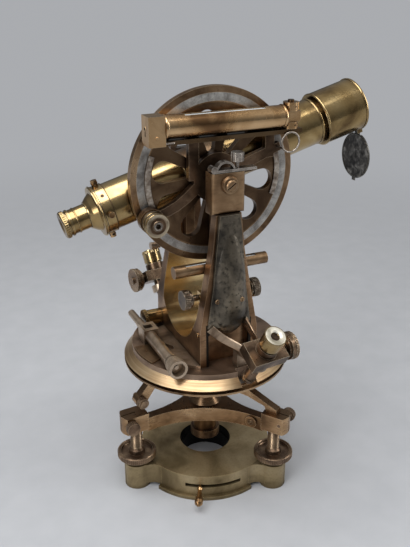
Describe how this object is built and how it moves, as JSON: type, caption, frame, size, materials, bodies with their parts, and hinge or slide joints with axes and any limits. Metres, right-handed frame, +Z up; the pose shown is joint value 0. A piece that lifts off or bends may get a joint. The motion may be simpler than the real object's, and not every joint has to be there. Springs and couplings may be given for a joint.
{
  "type": "theodolite",
  "caption": "Brass transit theodolite: tilting telescope with spoked vertical circle in a yoke, altitude level, reading microscopes, divided horizontal circle and a locking three screw base.",
  "frame": {"origin": "centre of the fixing thread at the foot of the base, on the plane the base stands on", "axes": "+Z up along the vertical axis; the trunnion axis lies along Y; the telescope swings in the XZ plane and its object end points to +X at rest; the vertical circle is on the -Y side"},
  "size_m": [0.3297, 0.2626, 0.4206],
  "materials": {
    "olive_brass": "aged, half worn lacquer over brass, olive with dark grime",
    "bronze": "brown bronzed brass, worn to gold at the edges",
    "dark_bronze": "dark brown bronzing, smooth",
    "brass": "warm lacquered brass with brown stains",
    "yellow_brass": "polished yellow brass, spotted",
    "rust": "red brown tarnish, matt",
    "silver": "grained silver, matt",
    "crackle": "black crackle paint, worn",
    "glass": "clear glass, slightly green"
  },
  "bodies": {
    "base": {"base_plate": "olive_brass", "bottom_plate": "olive_brass", "tribrach": "bronze", "pinch_screws": "rust", "centre_nut": "rust", "lower_clamp": "bronze"},
    "lock": {"locking_plate": "dark_bronze", "locking_lever": "brass"},
    "foot_screw_1": {"foot_screw_1": "rust"},
    "foot_screw_2": {"foot_screw_2": "rust"},
    "foot_screw_3": {"foot_screw_3": "rust"},
    "lower_tangent_screw": {"lower_tangent_screw": "rust"},
    "limb": {"limb": "dark_bronze", "horizontal_scale": "silver"},
    "alidade": {"alidade_plate": "brass", "alidade_axis": "dark_bronze", "standards": "bronze", "standard_covers": "crackle", "bearing_blocks": "bronze", "bearing_caps": "bronze", "plate_level_case": "bronze", "plate_level_vial": "glass", "microscope_brackets": "brass", "microscopes": "brass", "tangent_bracket": "brass", "plate_cover": "bronze", "telescope_clamp_arm": "bronze"},
    "micrometer_a": {"micrometer_drum_a": "silver"},
    "micrometer_b": {"micrometer_drum_b": "silver"},
    "microscope_eyepiece_a": {"microscope_eyepiece_a": "yellow_brass"},
    "microscope_eyepiece_b": {"microscope_eyepiece_b": "yellow_brass"},
    "upper_clamp_knob": {"upper_clamp_knob": "yellow_brass"},
    "upper_tangent_screw": {"upper_tangent_screw": "brass"},
    "clip_front": {"trunnion_clip_front": "silver"},
    "clip_back": {"trunnion_clip_back": "silver"},
    "thumbscrew_front": {"clip_thumbscrew_front": "silver"},
    "thumbscrew_back": {"clip_thumbscrew_back": "silver"},
    "telescope_tangent_screw": {"telescope_tangent_screw": "brass"},
    "telescope": {"telescope_centre": "bronze", "vertical_circle": "bronze", "circle_scale": "silver", "telescope_tube": "yellow_brass", "reticle_screws": "brass", "eyepiece_mount": "yellow_brass"},
    "telescope_eyepiece": {"telescope_eyepiece": "yellow_brass"},
    "object_slide": {"dew_cap": "yellow_brass", "objective_lens": "glass"},
    "objective_cover": {"objective_cover": "crackle"},
    "focus_knob": {"focus_knob": "brass"},
    "index": {"index_frame": "dark_bronze", "verniers": "silver", "reader_ring": "silver", "level_bar": "brass", "level_tube": "brass", "level_vial": "glass", "level_nuts": "brass"},
    "reader": {"reader": "yellow_brass"},
    "clip_screw_left": {"clip_screw_left": "silver"},
    "clip_screw_right": {"clip_screw_right": "silver"}
  },
  "joints": [
    {"name": "lock_turn", "type": "hinge", "parent": "base", "child": "lock", "pos_m": [0, 0, 0.01585], "axis": [0, 0, 1], "range_deg": [-9, 32]},
    {"name": "foot_screw_1_turn", "type": "hinge", "parent": "base", "child": "foot_screw_1", "pos_m": [0.03518, 0.07683, 0.039], "axis": [0, 0, 1], "continuous": true},
    {"name": "foot_screw_2_turn", "type": "hinge", "parent": "base", "child": "foot_screw_2", "pos_m": [-0.08413, -0.00795, 0.039], "axis": [0, 0, 1], "continuous": true},
    {"name": "foot_screw_3_turn", "type": "hinge", "parent": "base", "child": "foot_screw_3", "pos_m": [0.04895, -0.06888, 0.039], "axis": [0, 0, 1], "continuous": true},
    {"name": "lower_tangent_turn", "type": "hinge", "parent": "base", "child": "lower_tangent_screw", "pos_m": [-0.07865, -0.00743, 0.103], "axis": [0.0941, -0.9956, 0], "continuous": true},
    {"name": "limb_turn", "type": "hinge", "parent": "base", "child": "limb", "pos_m": [0, 0, 0.12], "axis": [0, 0, 1], "continuous": true},
    {"name": "alidade_turn", "type": "hinge", "parent": "limb", "child": "alidade", "pos_m": [0, 0, 0.1412], "axis": [0, 0, 1], "continuous": true},
    {"name": "micrometer_a_turn", "type": "hinge", "parent": "alidade", "child": "micrometer_a", "pos_m": [0.01212, -0.10636, 0.18739], "axis": [0.9936, 0.1132, 0], "continuous": true},
    {"name": "microscope_eyepiece_a_slide", "type": "slide", "parent": "alidade", "child": "microscope_eyepiece_a", "axis": [0.0608, -0.5338, 0.8434], "range_m": [-0.0018, 0.003]},
    {"name": "micrometer_b_turn", "type": "hinge", "parent": "alidade", "child": "micrometer_b", "pos_m": [-0.01212, 0.10636, 0.18739], "axis": [-0.9936, -0.1132, 0], "continuous": true},
    {"name": "microscope_eyepiece_b_slide", "type": "slide", "parent": "alidade", "child": "microscope_eyepiece_b", "axis": [-0.0608, 0.5338, 0.8434], "range_m": [-0.0018, 0.003]},
    {"name": "upper_clamp_turn", "type": "hinge", "parent": "alidade", "child": "upper_clamp_knob", "pos_m": [-0.0313, 0.05, 0.1647], "axis": [1, 0, 0], "range_deg": [-180, 180]},
    {"name": "upper_tangent_turn", "type": "hinge", "parent": "alidade", "child": "upper_tangent_screw", "pos_m": [-0.057, -0.047, 0.1632], "axis": [0, 1, 0], "continuous": true},
    {"name": "clip_front_lift", "type": "hinge", "parent": "alidade", "child": "clip_front", "pos_m": [-0.0146, -0.04865, 0.3515], "axis": [0, -1, 0], "range_deg": [0, 100]},
    {"name": "thumbscrew_front_turn", "type": "hinge", "parent": "clip_front", "child": "thumbscrew_front", "pos_m": [0.01, -0.04865, 0.351], "axis": [0, 0, 1], "continuous": true},
    {"name": "clip_back_lift", "type": "hinge", "parent": "alidade", "child": "clip_back", "pos_m": [-0.0146, 0.04865, 0.3515], "axis": [0, -1, 0], "range_deg": [0, 100]},
    {"name": "thumbscrew_back_turn", "type": "hinge", "parent": "clip_back", "child": "thumbscrew_back", "pos_m": [0.01, 0.04865, 0.351], "axis": [0, 0, 1], "continuous": true},
    {"name": "telescope_tangent_turn", "type": "hinge", "parent": "alidade", "child": "telescope_tangent_screw", "pos_m": [0, 0.0392, 0.2521], "axis": [1, 0, 0], "continuous": true},
    {"name": "telescope_elevation", "type": "hinge", "parent": "alidade", "child": "telescope", "pos_m": [0, 0, 0.337], "axis": [0, -1, 0], "range_deg": [-60, 209]},
    {"name": "eyepiece_focus", "type": "slide", "parent": "telescope", "child": "telescope_eyepiece", "axis": [-0.9627, 0, -0.2706], "range_m": [-0.0003, 0.006]},
    {"name": "object_slide_focus", "type": "slide", "parent": "telescope", "child": "object_slide", "axis": [0.9627, 0, 0.2706], "range_m": [-0.0024, 0.0071]},
    {"name": "objective_cover_swing", "type": "hinge", "parent": "object_slide", "child": "objective_cover", "pos_m": [0.18391, 0.011, 0.35826], "axis": [0, -1, 0], "range_deg": [-60, 195]},
    {"name": "focus_turn", "type": "hinge", "parent": "telescope", "child": "focus_knob", "pos_m": [0.07124, 0.038, 0.35702], "axis": [0, 1, 0], "range_deg": [-95, 275]},
    {"name": "index_tilt", "type": "hinge", "parent": "alidade", "child": "index", "pos_m": [0, 0, 0.337], "axis": [0, 1, 0], "range_deg": [-1.5, 1.5]},
    {"name": "reader_focus", "type": "slide", "parent": "index", "child": "reader", "axis": [0, 1, 0], "range_m": [-0.002, 0.0018]},
    {"name": "clip_screw_left_slide", "type": "slide", "parent": "alidade", "child": "clip_screw_left", "axis": [1, 0, 0], "range_m": [-0.0031, 0.0031]},
    {"name": "clip_screw_right_slide", "type": "slide", "parent": "alidade", "child": "clip_screw_right", "axis": [1, 0, 0], "range_m": [-0.0031, 0.0031]}
  ],
  "couplings": [
    {"joint": "focus_turn", "follows": "object_slide_focus", "rad_per_m": 666.67},
    {"joint": "clip_screw_left_slide", "follows": "index_tilt", "m_per_rad": -0.1154},
    {"joint": "clip_screw_right_slide", "follows": "index_tilt", "m_per_rad": -0.1154}
  ]
}
